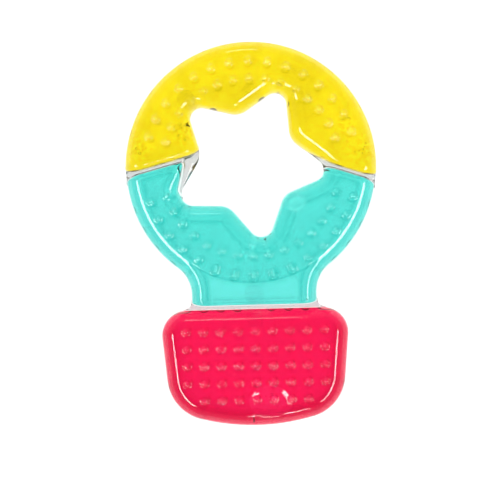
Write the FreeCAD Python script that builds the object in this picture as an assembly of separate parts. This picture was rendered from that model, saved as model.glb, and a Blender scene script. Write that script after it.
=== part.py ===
"""A water-filled teething ring: two welded half shells of clear soft plastic hold three coloured fills.

The ring has a star-shaped hole, a short neck and a pot-shaped foot. It lies flat, with its thickness
along Z. X runs across the ring and Y from the foot to the crown. All lengths are millimetres.
The shapes are drawn round the ring's centre on the weld plane, and moved to the frame's origin,
below the middle of the outline, when they are written out.
"""

import FreeCAD, Part
import math
import os

Vector = FreeCAD.Vector

# Ring and its star-shaped hole.
RING_R = 39.0
STAR_CENTRE = (-0.7, 1.6)
STAR_POINTS = 5
STAR_TIP_R = 26.3  # to the sharp corner, before its rounding
STAR_NOTCH_R = 14.4
STAR_TIP_ROUND = 3.3
STAR_NOTCH_ROUND = 6.2
STAR_TURN = -8.0  # direction of the right-hand tip, in degrees

# Neck below the ring.
NECK_HALF_WIDTH = 19.8
NECK_BLEND_R = 10.0
NECK_END_Y = -42.9
NECK_STEP = 0.5  # the neck is this much thinner than the ring, on each face
NECK_STEP_R = (34.0, 35.8)  # the slope down to the neck starts and ends that far from the ring's centre

# Pot-shaped foot.
POT_TOP_Y = -43.6
POT_TOP_HALF_WIDTH = 29.9
POT_CORNER = (26.9, -75.6)  # lower corner before its rounding
POT_BOTTOM_Y = -81.9
POT_TOP_ROUND = 8.0
POT_CORNER_ROUND = 14.0
POT_BOTTOM_ROUND = 66.0

# Thickness of the chambers and of the webs that join them.
HALF_THICKNESS = 7.0
RING_EDGE_R = 5.6
END_EDGE_R = 1.8  # round the chambers' parted ends
END_FACE_AREA = 50.0  # an upright flat face larger than this is a parted end
POT_EDGE_R = 6.2
WALL = 1.3
WEB_HALF_THICKNESS = 1.2
WEB_INSET = 0.4
WEB_FLARE_R = 3.0

# Lines that part the upper chamber from the lower one. Each runs out from one apex.
PART_APEX = (0.0, 8.2)
PART_ANGLES = (194.5, -18.5)
PART_GAP = 0.8

# Chewing nubs: domes on both faces.
NUB_R = 1.35
NUB_HEIGHT = 0.8
NUB_ROOT = 1.0  # how far a nub reaches into the wall below it
RING_ROW_RADII = (27.3, 32.6)
RING_ROW_PITCH = 10.3  # degrees
RING_ROW_REACH = 7  # nubs each side of the middle one
LONG_NUB_REACH = 2  # the outer row's nubs over the neck are drawn out towards the slope
LONG_NUB = 1.3
POT_ROWS = 5
POT_COLUMNS = 9
POT_NUB_PITCH = 5.3
POT_FIRST_ROW_Y = -50.3

# Fill ports in the back face, each closed by a welded plug.
PORT_R = 1.8
PLUG_HEAD_R = 2.9
PLUG_HEAD = 0.5
PLUG_EDGE_R = 0.3
PORTS = {"yellow": (-19.6, 22.0), "teal": (0.0, -40.0 + 0.6), "red": (0.0, -47.4)}

# Air left in each chamber, as (x, y, half length, half width, depth, turn in degrees).
BUBBLES = {
    "yellow": (31.0, 6.2, 5.2, 3.4, 2.6, 100.0),
    "teal": (13.1, -11.6, 3.4, 3.1, 2.8, 0.0),
    "red": (4.6, -74.2, 8.0, 3.6, 2.6, 0.0),
}

# Half shells overlap this much with the tools that cut them, so that no faces coincide.
CLEAR = 20.0

# The ring's centre in the finished part's frame.
LOWEST_OUTLINE_Y = POT_BOTTOM_Y + POT_BOTTOM_ROUND * (
    1 / math.cos(math.atan2(POT_CORNER[1] - POT_BOTTOM_Y, POT_CORNER[0])) - 1
)
RING_Y = -(RING_R + LOWEST_OUTLINE_Y) / 2
WELD_Z = HALF_THICKNESS + NUB_HEIGHT


def polar(radius, degrees, centre=(0.0, 0.0)):
    """The point at that distance and direction from centre."""
    a = math.radians(degrees)
    return (centre[0] + radius * math.cos(a), centre[1] + radius * math.sin(a))


def rounded_outline(corners):
    """A closed wire through (x, y, rounding radius) corners, each rounded by a tangent arc."""
    edges = []
    ends = []
    count = len(corners)
    for i, (x, y, radius) in enumerate(corners):
        here = Vector(x, y, 0)
        before = Vector(*corners[i - 1][:2], 0) - here
        after = Vector(*corners[(i + 1) % count][:2], 0) - here
        half = before.getAngle(after) / 2
        reach = radius / math.tan(half)
        start = here + before.normalize() * reach
        end = here + after.normalize() * reach
        middle_way = (before + after).normalize()
        middle = here + middle_way * (radius / math.sin(half) - radius)
        ends.append((start, end))
        edges.append(Part.Arc(start, middle, end).toShape())
    for i in range(count):
        gap_start, gap_end = ends[i][1], ends[(i + 1) % count][0]
        if gap_start.distanceToPoint(gap_end) > 1e-6:
            edges.append(Part.LineSegment(gap_start, gap_end).toShape())
    return Part.Wire(Part.__sortEdges__(edges))


def star_corners(growth=0.0):
    """The hole's corners. growth moves every side outwards by that much."""
    corners = []
    step = 180 / STAR_POINTS
    tip = polar(STAR_TIP_R, 0)
    notch = polar(STAR_NOTCH_R, step)
    side = math.atan2(tip[1] - notch[1], tip[0] - notch[0])
    tip_half = -side
    notch_half = math.pi - (math.radians(step) - side)
    for i in range(STAR_POINTS):
        tip_way = STAR_TURN + 2 * i * step
        tip_r = STAR_TIP_R + growth / math.sin(tip_half)
        notch_r = STAR_NOTCH_R + growth / math.sin(notch_half)
        corners.append((*polar(tip_r, tip_way, STAR_CENTRE), STAR_TIP_ROUND + growth))
        corners.append((*polar(notch_r, tip_way + step, STAR_CENTRE), STAR_NOTCH_ROUND - growth))
    return corners


def bulb_outline(inset=0.0):
    """Ring and neck as one wire. The neck runs on past its end, where the parting cut takes it off."""
    ring_r = RING_R - inset
    half = NECK_HALF_WIDTH - inset
    blend = NECK_BLEND_R + inset
    low = NECK_END_Y - CLEAR
    centre = Vector(half + blend, -math.sqrt((ring_r + blend) ** 2 - (half + blend) ** 2), 0)
    on_ring = centre * (ring_r / (ring_r + blend))
    on_neck = Vector(half, centre.y, 0)
    middle = centre + ((on_ring + on_neck) * 0.5 - centre).normalize() * blend

    def flip(v):
        return Vector(-v.x, v.y, 0)

    corner = Vector(half, low, 0)
    edges = [
        Part.Arc(on_ring, Vector(0, ring_r, 0), flip(on_ring)).toShape(),
        Part.Arc(flip(on_ring), flip(middle), flip(on_neck)).toShape(),
        Part.LineSegment(flip(on_neck), flip(corner)).toShape(),
        Part.LineSegment(flip(corner), corner).toShape(),
        Part.LineSegment(corner, on_neck).toShape(),
        Part.Arc(on_neck, middle, on_ring).toShape(),
    ]
    return Part.Wire(edges)


def pot_outline(inset=0.0):
    """The foot's wire: flat top, tapering sides and a gently curved bottom."""
    corners = [
        (POT_TOP_HALF_WIDTH, POT_TOP_Y, POT_TOP_ROUND),
        (POT_CORNER[0], POT_CORNER[1], POT_CORNER_ROUND),
        (0.0, POT_BOTTOM_Y, POT_BOTTOM_ROUND),
        (-POT_CORNER[0], POT_CORNER[1], POT_CORNER_ROUND),
        (-POT_TOP_HALF_WIDTH, POT_TOP_Y, POT_TOP_ROUND),
    ]
    wire = rounded_outline(corners)
    return wire.makeOffset2D(-inset) if inset else wire


def slab(wires, half_height):
    """A flat solid, that high each side of the weld plane. Wires after the first are its holes."""
    outer, *holes = [Part.Face(w.translated(Vector(0, 0, -half_height))) for w in wires]
    solid = outer.extrude(Vector(0, 0, 2 * half_height))
    for hole in holes:
        solid = solid.cut(hole.extrude(Vector(0, 0, 2 * half_height)))
    return solid


def pillow(wires, half_height, edge_r):
    """A slab with every upper and lower rim rounded."""
    solid = slab(wires, half_height)
    rims = [e for e in solid.Edges if abs(abs(e.CenterOfMass.z) - half_height) < 1e-6]
    return solid.makeFillet(edge_r, rims)


def block(low, high):
    """A box from its lowest to its highest corner."""
    size = [h - l for l, h in zip(low, high)]
    return Part.makeBox(*size, Vector(*low))


def above_parting(gap):
    """The space on the crown's side of the parting lines, moved up by half the gap."""
    far = 4 * RING_R
    left = polar(far, PART_ANGLES[0], PART_APEX)
    right = polar(far, PART_ANGLES[1], PART_APEX)
    points = [PART_APEX, right, (far, far), (-far, far), left, PART_APEX]
    lift = gap / 2 / math.cos(math.radians(16.5))
    wire = Part.makePolygon([Vector(x, y + lift, -CLEAR) for x, y in points])
    return Part.Face(wire).extrude(Vector(0, 0, 2 * CLEAR))


def below_parting(gap):
    """The space on the neck's side of the parting lines, down to the neck's end."""
    far = 4 * RING_R
    whole = block((-far, NECK_END_Y, -CLEAR), (far, far, CLEAR))
    return whole.cut(above_parting(-gap))


def neck_steps(inset):
    """Two tools that thin the neck, on the front and on the back. Each ends in a slope up to the ring."""
    high = HALF_THICKNESS - inset
    near, far = (r - inset for r in NECK_STEP_R)
    low = high - NECK_STEP
    rise = far * NECK_STEP / (far - near)
    keep = Part.makeCone(far, 0, rise, Vector(0, 0, low))
    upper = block((-RING_R, 2 * NECK_END_Y, low), (RING_R, -RING_R * 0.7, CLEAR)).cut(keep)
    return [upper, upper.mirror(Vector(0, 0, 0), Vector(0, 0, 1))]


def bulb(inset=0.0):
    """Ring and neck, inset from the outer surface all round, before they are parted and stepped."""
    wires = [bulb_outline(inset), rounded_outline(star_corners(inset))]
    return pillow(wires, HALF_THICKNESS - inset, RING_EDGE_R - inset)


def round_ends(shape, radius):
    """Rounds the flat upright ends that the parting cuts leave on a chamber."""
    solid = shape.Solids[0].removeSplitter()
    edges = []
    for face in solid.Faces:
        upright = isinstance(face.Surface, Part.Plane) and abs(face.Surface.Axis.z) < 1e-6
        if upright and face.Area > END_FACE_AREA:
            edges.extend(face.Edges)
    return solid.makeFillet(radius, edges)


def chambers(inset=0.0):
    """The three chambers' solids by colour, inset from the outer surface all round."""
    whole = bulb(inset)
    gap = PART_GAP + 2 * inset
    lower = below_parting(gap)
    if inset:
        lower = lower.common(block((-CLEAR * 4, NECK_END_Y + inset, -CLEAR), (CLEAR * 4, CLEAR * 4, CLEAR)))
    pot = pillow([pot_outline(inset)], HALF_THICKNESS - inset, POT_EDGE_R - inset)
    yellow = round_ends(whole.common(above_parting(gap)), END_EDGE_R - inset)
    teal = round_ends(whole.common(lower), END_EDGE_R - inset)
    for tool in neck_steps(inset):
        teal = teal.cut(tool)
    return {"yellow": yellow, "teal": teal, "red": pot}


def edge_drop(x, y, hole):
    """How far the ring's face has rolled down at a point near the hole."""
    short = RING_EDGE_R - hole.distToShape(Part.Vertex(x, y, 0))[0]
    return RING_EDGE_R - math.sqrt(RING_EDGE_R**2 - short**2) if short > 0 else 0.0


def ring_nub_places():
    """Where the ring's nubs stand, as (x, y, direction from the ring's centre, length, sink)."""
    places = []
    outer = RING_ROW_RADII[-1]
    hole = rounded_outline(star_corners())
    for middle in (90.0, -90.0):
        for radius in RING_ROW_RADII:
            for k in range(-RING_ROW_REACH, RING_ROW_REACH + 1):
                way = middle + k * RING_ROW_PITCH
                over_neck = middle < 0 and radius == outer and abs(k) <= LONG_NUB_REACH
                length = LONG_NUB if over_neck else 0.0
                x, y = polar(radius, way)
                places.append((x, y, way, length, edge_drop(x, y, hole)))
    return places


def pot_nub_places():
    """Where the pot's nubs stand. The last row is shorter by one nub at each end."""
    places = []
    middle = (POT_COLUMNS - 1) / 2
    for row in range(POT_ROWS):
        reach = middle - (1 if row == POT_ROWS - 1 else 0)
        for column in range(POT_COLUMNS):
            if abs(column - middle) <= reach:
                x = (column - middle) * POT_NUB_PITCH
                places.append((x, POT_FIRST_ROW_Y - row * POT_NUB_PITCH, 0.0, 0.0, 0.0))
    return places


def nub(x, y, way, length, sink):
    """One domed nub on the front face, or a pair of domes with a bar between where it has a length."""
    ball_r = (NUB_R**2 + NUB_HEIGHT**2) / (2 * NUB_HEIGHT)
    z = HALF_THICKNESS + NUB_HEIGHT - ball_r - sink
    start = Vector(x, y, z)
    solid = Part.makeSphere(ball_r, start)
    if length:
        along = Vector(*polar(1.0, way), 0)
        bar = Part.makeCylinder(ball_r, length, start, along)
        solid = solid.fuse([bar, Part.makeSphere(ball_r, start + along * length)])
    root = HALF_THICKNESS - NUB_ROOT - sink
    return solid.common(block((x - CLEAR, y - CLEAR, root), (x + CLEAR, y + CLEAR, CLEAR)))


def nubs():
    """All nubs of both faces. None stands where a fill plug's head lies."""
    front = []
    back = []
    for place in ring_nub_places() + pot_nub_places():
        dome = nub(*place)
        front.append(dome)
        clear = min(math.dist(place[:2], port) for port in PORTS.values())
        if clear > PLUG_HEAD_R + NUB_R:
            back.append(dome.mirror(Vector(0, 0, 0), Vector(0, 0, 1)))
    return front + back


def webs():
    """The thin welded webs that join the chambers at the two partings and at the foot."""
    wires = [bulb_outline(WEB_INSET), rounded_outline(star_corners(WEB_INSET))]
    sheet = slab(wires, WEB_HALF_THICKNESS)
    reach = PART_GAP + 2 * WALL
    parting = below_parting(-reach).common(above_parting(-reach))
    ring_webs = sheet.common(parting)
    half = NECK_HALF_WIDTH - WEB_INSET
    low = POT_TOP_Y - WALL
    high = NECK_END_Y + WALL
    flare = half + WEB_FLARE_R
    middle = WEB_FLARE_R * (1 - math.sqrt(0.5))
    knee = POT_TOP_Y - WEB_INSET
    right = [Vector(half, high, 0), Vector(half, knee + WEB_FLARE_R, 0), Vector(flare, knee, 0)]
    curve = Vector(half + middle, knee + middle, 0)
    left = [Vector(-v.x, v.y, 0) for v in right]
    edges = [
        Part.LineSegment(right[0], right[1]).toShape(),
        Part.Arc(right[1], curve, right[2]).toShape(),
        Part.LineSegment(right[2], Vector(flare, low, 0)).toShape(),
        Part.LineSegment(Vector(flare, low, 0), Vector(-flare, low, 0)).toShape(),
        Part.LineSegment(Vector(-flare, low, 0), left[2]).toShape(),
        Part.Arc(left[2], Vector(-curve.x, curve.y, 0), left[1]).toShape(),
        Part.LineSegment(left[1], left[0]).toShape(),
        Part.LineSegment(left[0], right[0]).toShape(),
    ]
    foot_web = slab([Part.Wire(edges)], WEB_HALF_THICKNESS)
    return [*ring_webs.Solids, foot_web]


def port(colour):
    """The round hole through the back wall for one chamber's fill."""
    x, y = PORTS[colour]
    return Part.makeCylinder(PORT_R, CLEAR, Vector(x, y, -CLEAR))


def back_face_z(colour):
    """How far below the weld plane the back face lies at that chamber's port."""
    return HALF_THICKNESS - (NECK_STEP if colour == "teal" else 0.0)


def plug(colour):
    """A fill plug: a stem through the wall and a rounded head outside it."""
    x, y = PORTS[colour]
    face = back_face_z(colour)
    stem = Part.makeCylinder(PORT_R, WALL, Vector(x, y, -face))
    head = Part.makeCylinder(PLUG_HEAD_R, PLUG_HEAD, Vector(x, y, -face - PLUG_HEAD))
    rim = [e for e in head.Edges if abs(e.CenterOfMass.z + face + PLUG_HEAD) < 1e-6]
    return stem.fuse(head.makeFillet(PLUG_EDGE_R, rim)).removeSplitter()


def bubble(colour):
    """The air space under the front wall of one chamber, as a flattened ball."""
    x, y, half_length, half_width, depth, turn = BUBBLES[colour]
    matrix = FreeCAD.Matrix()
    matrix.scale(half_length, half_width, depth)
    matrix.rotateZ(math.radians(turn))
    matrix.move(Vector(x, y, HALF_THICKNESS - WALL))
    return Part.makeSphere(1.0).transformGeometry(matrix)


def half_shells(cavities):
    """The front and back half shells, welded edge to edge on the plane z = 0."""
    domes = list(chambers().values())
    body = domes[0].fuse(domes[1:] + webs() + nubs())
    for cavity in cavities.values():
        body = body.cut(cavity)
    for colour in PORTS:
        body = body.cut(port(colour).cut(block((-99, -99, -2 * WALL), (99, 99, CLEAR))))
    far = 4 * RING_R
    front = body.common(block((-far, -far, 0), (far, far, CLEAR)))
    back = body.common(block((-far, -far, -CLEAR), (far, far, 0)))
    return front, back


def save(name, shape):
    """Writes one sub-part in the finished part's frame."""
    placed = shape.translated(Vector(0, RING_Y, WELD_Z))
    solid = placed.Solids[0] if len(placed.Solids) == 1 else placed
    solid.exportStep("parts/" + name + ".step")
    box = solid.BoundBox
    print(f"{name}: solids {len(placed.Solids)} valid {solid.isValid()} volume {solid.Volume:.0f} mm3,", end=" ")
    print(f"x {box.XMin:.2f} {box.XMax:.2f}, y {box.YMin:.2f} {box.YMax:.2f}, z {box.ZMin:.2f} {box.ZMax:.2f}")


def main():
    os.makedirs("parts", exist_ok=True)
    cavities = chambers(WALL)
    front, back = half_shells(cavities)
    save("front_shell", front)
    save("back_shell", back)
    for colour, cavity in cavities.items():
        save(colour + "_fill", cavity.cut(bubble(colour)))
        save(colour + "_fill_plug", plug(colour))


main()
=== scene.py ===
import math
import random

import bpy
import numpy as np
from mathutils import Matrix, Vector
from mathutils.geometry import delaunay_2d_cdt


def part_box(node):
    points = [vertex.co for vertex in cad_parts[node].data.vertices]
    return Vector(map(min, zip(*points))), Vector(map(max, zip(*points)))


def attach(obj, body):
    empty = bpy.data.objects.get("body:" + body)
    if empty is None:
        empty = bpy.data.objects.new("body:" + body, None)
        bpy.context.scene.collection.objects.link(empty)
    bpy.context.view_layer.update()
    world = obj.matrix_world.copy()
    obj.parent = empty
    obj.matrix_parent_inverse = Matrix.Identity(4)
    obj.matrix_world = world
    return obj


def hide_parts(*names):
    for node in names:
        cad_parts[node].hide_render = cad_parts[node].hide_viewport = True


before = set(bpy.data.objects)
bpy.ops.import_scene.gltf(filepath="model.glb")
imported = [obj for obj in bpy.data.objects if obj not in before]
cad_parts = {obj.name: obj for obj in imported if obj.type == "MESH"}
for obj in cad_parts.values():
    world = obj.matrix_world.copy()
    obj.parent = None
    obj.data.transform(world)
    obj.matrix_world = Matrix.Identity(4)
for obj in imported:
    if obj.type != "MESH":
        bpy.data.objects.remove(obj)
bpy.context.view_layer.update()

# ---------------------------------------------------------------- dimensions, in mm
# Shapes are worked out round the ring's centre on the weld plane, then moved into the frame.
MM = 0.001
RING_R = 39.0
STAR_CENTRE = (-0.7, 1.6)
STAR_TIP_R = 26.3
STAR_NOTCH_R = 14.4
STAR_TIP_ROUND = 3.3
STAR_NOTCH_ROUND = 6.2
STAR_TURN = -8.0
STAR_POINTS = 5
NECK_HALF_WIDTH = 19.8
NECK_BLEND_R = 10.0
NECK_END_Y = -42.9
NECK_OVERRUN = 20
NECK_STEP = 0.32
NECK_TOP_Y = -24.0  # nothing of the neck reaches above this
NECK_SLOPE_R = 33.7  # the slope down to the neck starts this far from the ring's centre
NECK_SLOPE_RUN = 2.0
NECK_SPARE = 0.1  # how far above the ring's face the slope starts
GROOVE_R = 35.6  # a fine groove at the foot of that slope
GROOVE_WIDTH = 0.5
GROOVE_DEPTH = 0.07
POT_CORNERS = [
    (29.9, -43.6, 8.0),
    (26.9, -75.6, 14.0),
    (0.0, -81.9, 66.0),
    (-26.9, -75.6, 14.0),
    (-29.9, -43.6, 8.0),
]
HALF_THICKNESS = 7.0
RING_EDGE_R = 5.6
POT_EDGE_R = 6.2
END_EDGE_R = 2.0
PART_APEX = (0.0, 8.2)
PART_ANGLES = (194.5, -18.5)
PART_GAP = 0.8
NUB_R = 1.35
NUB_HEIGHT = 0.8
RING_ROW_RADII = (27.3, 32.6)
RING_ROW_PITCH = 10.3
RING_ROW_REACH = 7
LONG_NUB_REACH = 2
LONG_NUB = 1.3
POT_ROWS = 5
POT_COLUMNS = 9
POT_NUB_PITCH = 5.3
POT_FIRST_ROW_Y = -50.3
WALL_SHOWN = {"yellow": 0.15, "teal": 0.45, "red": 0.25}  # clear plastic outside the colour, seen edge on
SKIN_THICKNESS = 0.08
WELD_GAP = 0.01  # from a half's weld face to the weld plane
WEB_HALF_THICKNESS = 1.2
WEB_INSET = 0.35
WEB_REACH = 3.0
WEB_CORNER_REACH = 6.5  # the left web also fills the clear corner, this far round its middle
WEB_CORNER_SHIFT = (1.0, 4.6)
WEB_TUCK = 0.985  # how far down a chamber's rolled edge a web ends, as roll() counts it
FOOT_FLARE_R = 2.6
CLEAR_CORNER = (-21.9, -7.6)  # where the teal's edge leaves the star's
CLEAR_CORNER_LEAN = 9.0
CLEAR_CORNER_SLOPE = 2.0  # how sharply the clear corner ends downwards
CLEAR_CORNER_EDGE_R = 2.0
PORT_R = 1.8
PORTS = {"yellow": (-19.6, 22.0), "teal": (0.0, -39.4), "red": (0.0, -47.4)}
PLUG_HEAD_R = 2.9
NO_NUB_R = PLUG_HEAD_R + NUB_R
FAR = 99.0  # stands for no edge nearby

low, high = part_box("front_shell")
RING_Y = high.y / MM - RING_R
WELD_Z = low.z / MM


# ---------------------------------------------------------------- outlines
def polar(radius, degrees, centre=(0.0, 0.0)):
    a = math.radians(degrees)
    return (centre[0] + radius * math.cos(a), centre[1] + radius * math.sin(a))


def arc(centre, radius, start, end, step=0.5):
    """Points along an arc from one angle to another, in degrees."""
    count = max(3, int(abs(math.radians(end - start)) * radius / step))
    return [polar(radius, start + (end - start) * i / count, centre) for i in range(count + 1)]


def line(start, end, step=0.6):
    """Points along a straight run, without its last one."""
    count = max(1, int(math.dist(start, end) / step))
    return [tuple(np.add(start, np.subtract(end, start) * i / count)) for i in range(count)]


def rounded(corners):
    """A closed line through (x, y, rounding radius) corners."""
    pieces = []
    for i, (x, y, radius) in enumerate(corners):
        here = Vector((x, y))
        before = (Vector(corners[i - 1][:2]) - here).normalized()
        after = (Vector(corners[(i + 1) % len(corners)][:2]) - here).normalized()
        half = before.angle(after) / 2
        centre = here + (before + after).normalized() * (radius / math.sin(half))
        start = here + before * (radius / math.tan(half)) - centre
        end = here + after * (radius / math.tan(half)) - centre
        a = math.degrees(math.atan2(start.y, start.x))
        turn = (math.degrees(math.atan2(end.y, end.x)) - a + 180) % 360 - 180
        pieces.append(arc(tuple(centre), radius, a, a + turn))
    points = []
    for i, piece in enumerate(pieces):
        points.extend(piece)
        points.extend(line(piece[-1], pieces[(i + 1) % len(pieces)][0])[1:])
    return points


def star_line():
    corners = []
    step = 180 / STAR_POINTS
    for i in range(STAR_POINTS):
        way = STAR_TURN + 2 * step * i
        corners.append((*polar(STAR_TIP_R, way, STAR_CENTRE), STAR_TIP_ROUND))
        corners.append((*polar(STAR_NOTCH_R, way + step, STAR_CENTRE), STAR_NOTCH_ROUND))
    return rounded(corners)


def bulb_line():
    """Ring and neck, anticlockwise from the neck's right foot. The neck runs on below its end."""
    x = NECK_HALF_WIDTH + NECK_BLEND_R
    y = -math.sqrt((RING_R + NECK_BLEND_R) ** 2 - x**2)
    lean = math.degrees(math.atan2(-y, x))
    foot = NECK_END_Y - NECK_OVERRUN
    points = line((NECK_HALF_WIDTH, foot), (NECK_HALF_WIDTH, y))
    points += arc((x, y), NECK_BLEND_R, 180, 180 - lean)
    points += arc((0, 0), RING_R, -lean, 180 + lean)[1:]
    points += arc((-x, y), NECK_BLEND_R, lean, 0)[1:]
    points += line((-NECK_HALF_WIDTH, y), (-NECK_HALF_WIDTH, foot))[1:]
    points += line((-NECK_HALF_WIDTH, foot), (NECK_HALF_WIDTH, foot))
    return points


STAR = np.array(star_line())
BULB = np.array(bulb_line())
POT = np.array(rounded(POT_CORNERS))


def distance(points, loop):
    """How far each point is from a closed line."""
    a = loop
    b = np.roll(loop, -1, axis=0)
    run = b - a
    best = np.full(len(points), np.inf)
    length = (run**2).sum(1)
    for lo in range(0, len(points), 4000):
        p = points[lo : lo + 4000, None, :]
        t = np.clip(((p - a) * run).sum(2) / length, 0, 1)
        gap = p - (a + t[..., None] * run)
        best[lo : lo + 4000] = np.sqrt((gap**2).sum(2).min(1))
    return best


def within(points, loop):
    """Which points lie inside a closed line."""
    inside = np.zeros(len(points), bool)
    for a, b in zip(loop, np.roll(loop, -1, axis=0)):
        crosses = (a[1] > points[:, 1]) != (b[1] > points[:, 1])
        if crosses.any():
            x = a[0] + (points[:, 1] - a[1]) * (b[0] - a[0]) / (b[1] - a[1])
            inside ^= crosses & (points[:, 0] < x)
    return inside


def signed(loop, way):
    """Distance inside a closed line (way = 1) or outside it (way = -1)."""
    return lambda p: distance(p, loop) * np.where(within(p, loop), way, -way)


def beyond(angle, way, shift):
    """Distance past a parting line, on its own side of the ring. way is 1 towards the crown, -1 away."""
    side = -1 if 90 < angle < 270 else 1
    n = np.array(polar(way, angle + 90 * side))

    def measure(p):
        return np.where(p[:, 0] * side > 0, (p - np.array(PART_APEX)) @ n - shift, FAR)

    return measure


def clear_corner(p):
    """Distance from the teal's edge where it leaves a corner of the ring clear."""
    away = (p - np.array(CLEAR_CORNER)) @ np.array(polar(1.0, 180 - CLEAR_CORNER_LEAN))
    below = CLEAR_CORNER_SLOPE * (CLEAR_CORNER[1] - p[:, 1])
    return np.where(p[:, 0] < 0, np.maximum(away, below), FAR)


def rims_of(colour):
    """The edges that a chamber's faces roll down to, as (distance inside, rolling radius)."""
    if colour == "red":
        return [(signed(POT, 1), POT_EDGE_R)]
    rims = [(signed(BULB, 1), RING_EDGE_R), (signed(STAR, -1), RING_EDGE_R)]
    way = 1 if colour == "yellow" else -1
    for angle in PART_ANGLES:
        rims.append((beyond(angle, way, PART_GAP / 2), END_EDGE_R))
    if colour == "teal":
        rims.append((lambda p: p[:, 1] - NECK_END_Y, END_EDGE_R))
        rims.append((clear_corner, CLEAR_CORNER_EDGE_R))
    return rims


def run_where(loop, inside):
    """The stretch of a closed line where inside(points) is positive, ending on its two crossings."""
    value = inside(loop)
    first = int(np.flatnonzero((value > 0) & (np.roll(value, 1) <= 0))[0])
    loop = np.roll(loop, -first, axis=0)
    value = np.roll(value, -first)
    last = int(np.flatnonzero(value <= 0)[0])

    def crossing(i, j):
        t = value[i] / (value[i] - value[j])
        return loop[i] + (loop[j] - loop[i]) * t

    return np.vstack([crossing(0, -1), loop[:last], crossing(last - 1, last)])


def outline_of(colour):
    """A chamber's outline before its corners are rounded, anticlockwise."""
    if colour == "red":
        return POT[::-1]
    way = 1 if colour == "yellow" else -1
    lines = [beyond(angle, way, PART_GAP / 2) for angle in PART_ANGLES]

    def inside(p):
        return np.minimum(lines[0](p), lines[1](p))

    outer = run_where(np.roll(BULB, -len(BULB) // (2 if way < 0 else 1), axis=0), inside)
    outer[:, 1] = np.maximum(outer[:, 1], NECK_END_Y)
    inner = run_where(STAR, inside)[::-1]
    ends = line(outer[-1], inner[0])[1:] + list(inner) + line(inner[-1], outer[0])[1:]
    points = np.vstack([outer, np.array(ends)])
    gap = np.linalg.norm(points - np.roll(points, 1, axis=0), axis=1)
    return points[gap > 0.05]


# ---------------------------------------------------------------- the faces' height
CORNER_POWER = 2.6  # how tightly two rolled edges blend at a corner
CAP_BLEND = 0.06


def roll(points, rims):
    """How far each point is into the rolled edges, and their radius. 0 is the flat and 1 the outline."""
    total = np.zeros(len(points))
    weighted = np.zeros(len(points))
    for inside, radius in rims:
        share = np.clip(1 - inside(points) / radius, 0, None) ** CORNER_POWER
        total += share
        weighted += share * radius
    radius = np.where(total > 1e-9, weighted / np.maximum(total, 1e-9), 1.0)
    return total ** (1 / CORNER_POWER), radius


def slope(points, rims):
    """The direction in which roll() grows, per mm."""
    step = 1e-3
    value = roll(points, rims)[0]
    right = roll(points + (step, 0), rims)[0]
    up = roll(points + (0, step), rims)[0]
    return value, np.column_stack([(right - value) / step, (up - value) / step])


def settle(points, rims, level):
    """Moves points along the slope until roll() has that value there."""
    points = points.copy()
    for _ in range(6):
        value, grow = slope(points, rims)
        steep = np.maximum((grow**2).sum(1), 1e-4)
        move = grow * ((level - value) / steep)[:, None]
        size = np.linalg.norm(move, axis=1)
        points += move * np.minimum(1, 1.5 / np.maximum(size, 1e-9))[:, None]
    return points


def smooth_least(a, b, blend):
    """The smaller of two heights, with the crease between them rounded."""
    h = np.clip(0.5 + (b - a) / (2 * blend), 0, 1)
    return b * (1 - h) + a * h - blend * h * (1 - h)


def neck_cap(points):
    """The height the neck is held down to, with the crease where it meets the ring."""
    r = np.linalg.norm(points, axis=1)
    t = np.clip((r - NECK_SLOPE_R) / NECK_SLOPE_RUN, 0, 1)
    cap = HALF_THICKNESS + NECK_SPARE - (NECK_STEP + NECK_SPARE) * t * t * (3 - 2 * t)
    cap -= GROOVE_DEPTH * np.exp(-(((r - GROOVE_R) / GROOVE_WIDTH) ** 2))
    return np.where(points[:, 1] < NECK_TOP_Y, cap, FAR)


def face_height(points, rims):
    """Half the thickness at each point, without nubs."""
    q, radius = roll(points, rims)
    z = HALF_THICKNESS - radius * (1 - np.sqrt(np.clip(1 - q**2, 0, 1)))
    return smooth_least(z, neck_cap(points), CAP_BLEND)


# ---------------------------------------------------------------- nubs
# Rings of points round a nub, as (share of its radius, count).
NUB_RINGS = ((0.28, 6), (0.52, 10), (0.72, 14), (0.88, 16), (1.0, 18), (1.16, 18))
LONG_NUB_STEPS = (0.0, 0.35, 0.7)


def ring_nubs(middle):
    """(x, y, direction of length, length) of one ring chamber's nubs."""
    nubs = []
    for radius in RING_ROW_RADII:
        for k in range(-RING_ROW_REACH, RING_ROW_REACH + 1):
            way = middle + k * RING_ROW_PITCH
            long = middle < 0 and radius == RING_ROW_RADII[-1] and abs(k) <= LONG_NUB_REACH
            nubs.append((*polar(radius, way), way, LONG_NUB if long else 0.0))
    return nubs


def pot_nubs():
    nubs = []
    middle = (POT_COLUMNS - 1) / 2
    for row in range(POT_ROWS):
        for column in range(POT_COLUMNS):
            if row < POT_ROWS - 1 or abs(column - middle) < middle:
                x = (column - middle) * POT_NUB_PITCH
                nubs.append((x, POT_FIRST_ROW_Y - row * POT_NUB_PITCH, 0.0, 0.0))
    return nubs


def from_nub(points, nub):
    """How far each point is from a nub's middle line."""
    x, y, way, length = nub
    along = np.array(polar(1.0, way))
    p = points - (x, y)
    t = np.clip(p @ along, 0, length)
    return np.linalg.norm(p - t[:, None] * along, axis=1)


def nub_height(points, nubs):
    """The height that nubs add to a face: a ball's cap each."""
    ball = (NUB_R**2 + NUB_HEIGHT**2) / (2 * NUB_HEIGHT)
    z = np.zeros(len(points))
    for nub in nubs:
        r = from_nub(points, nub)
        dome = np.sqrt(np.clip(ball**2 - r**2, 0, None)) - (ball - NUB_HEIGHT)
        z = np.maximum(z, np.where(r < ball, dome, 0))
    return z


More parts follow.
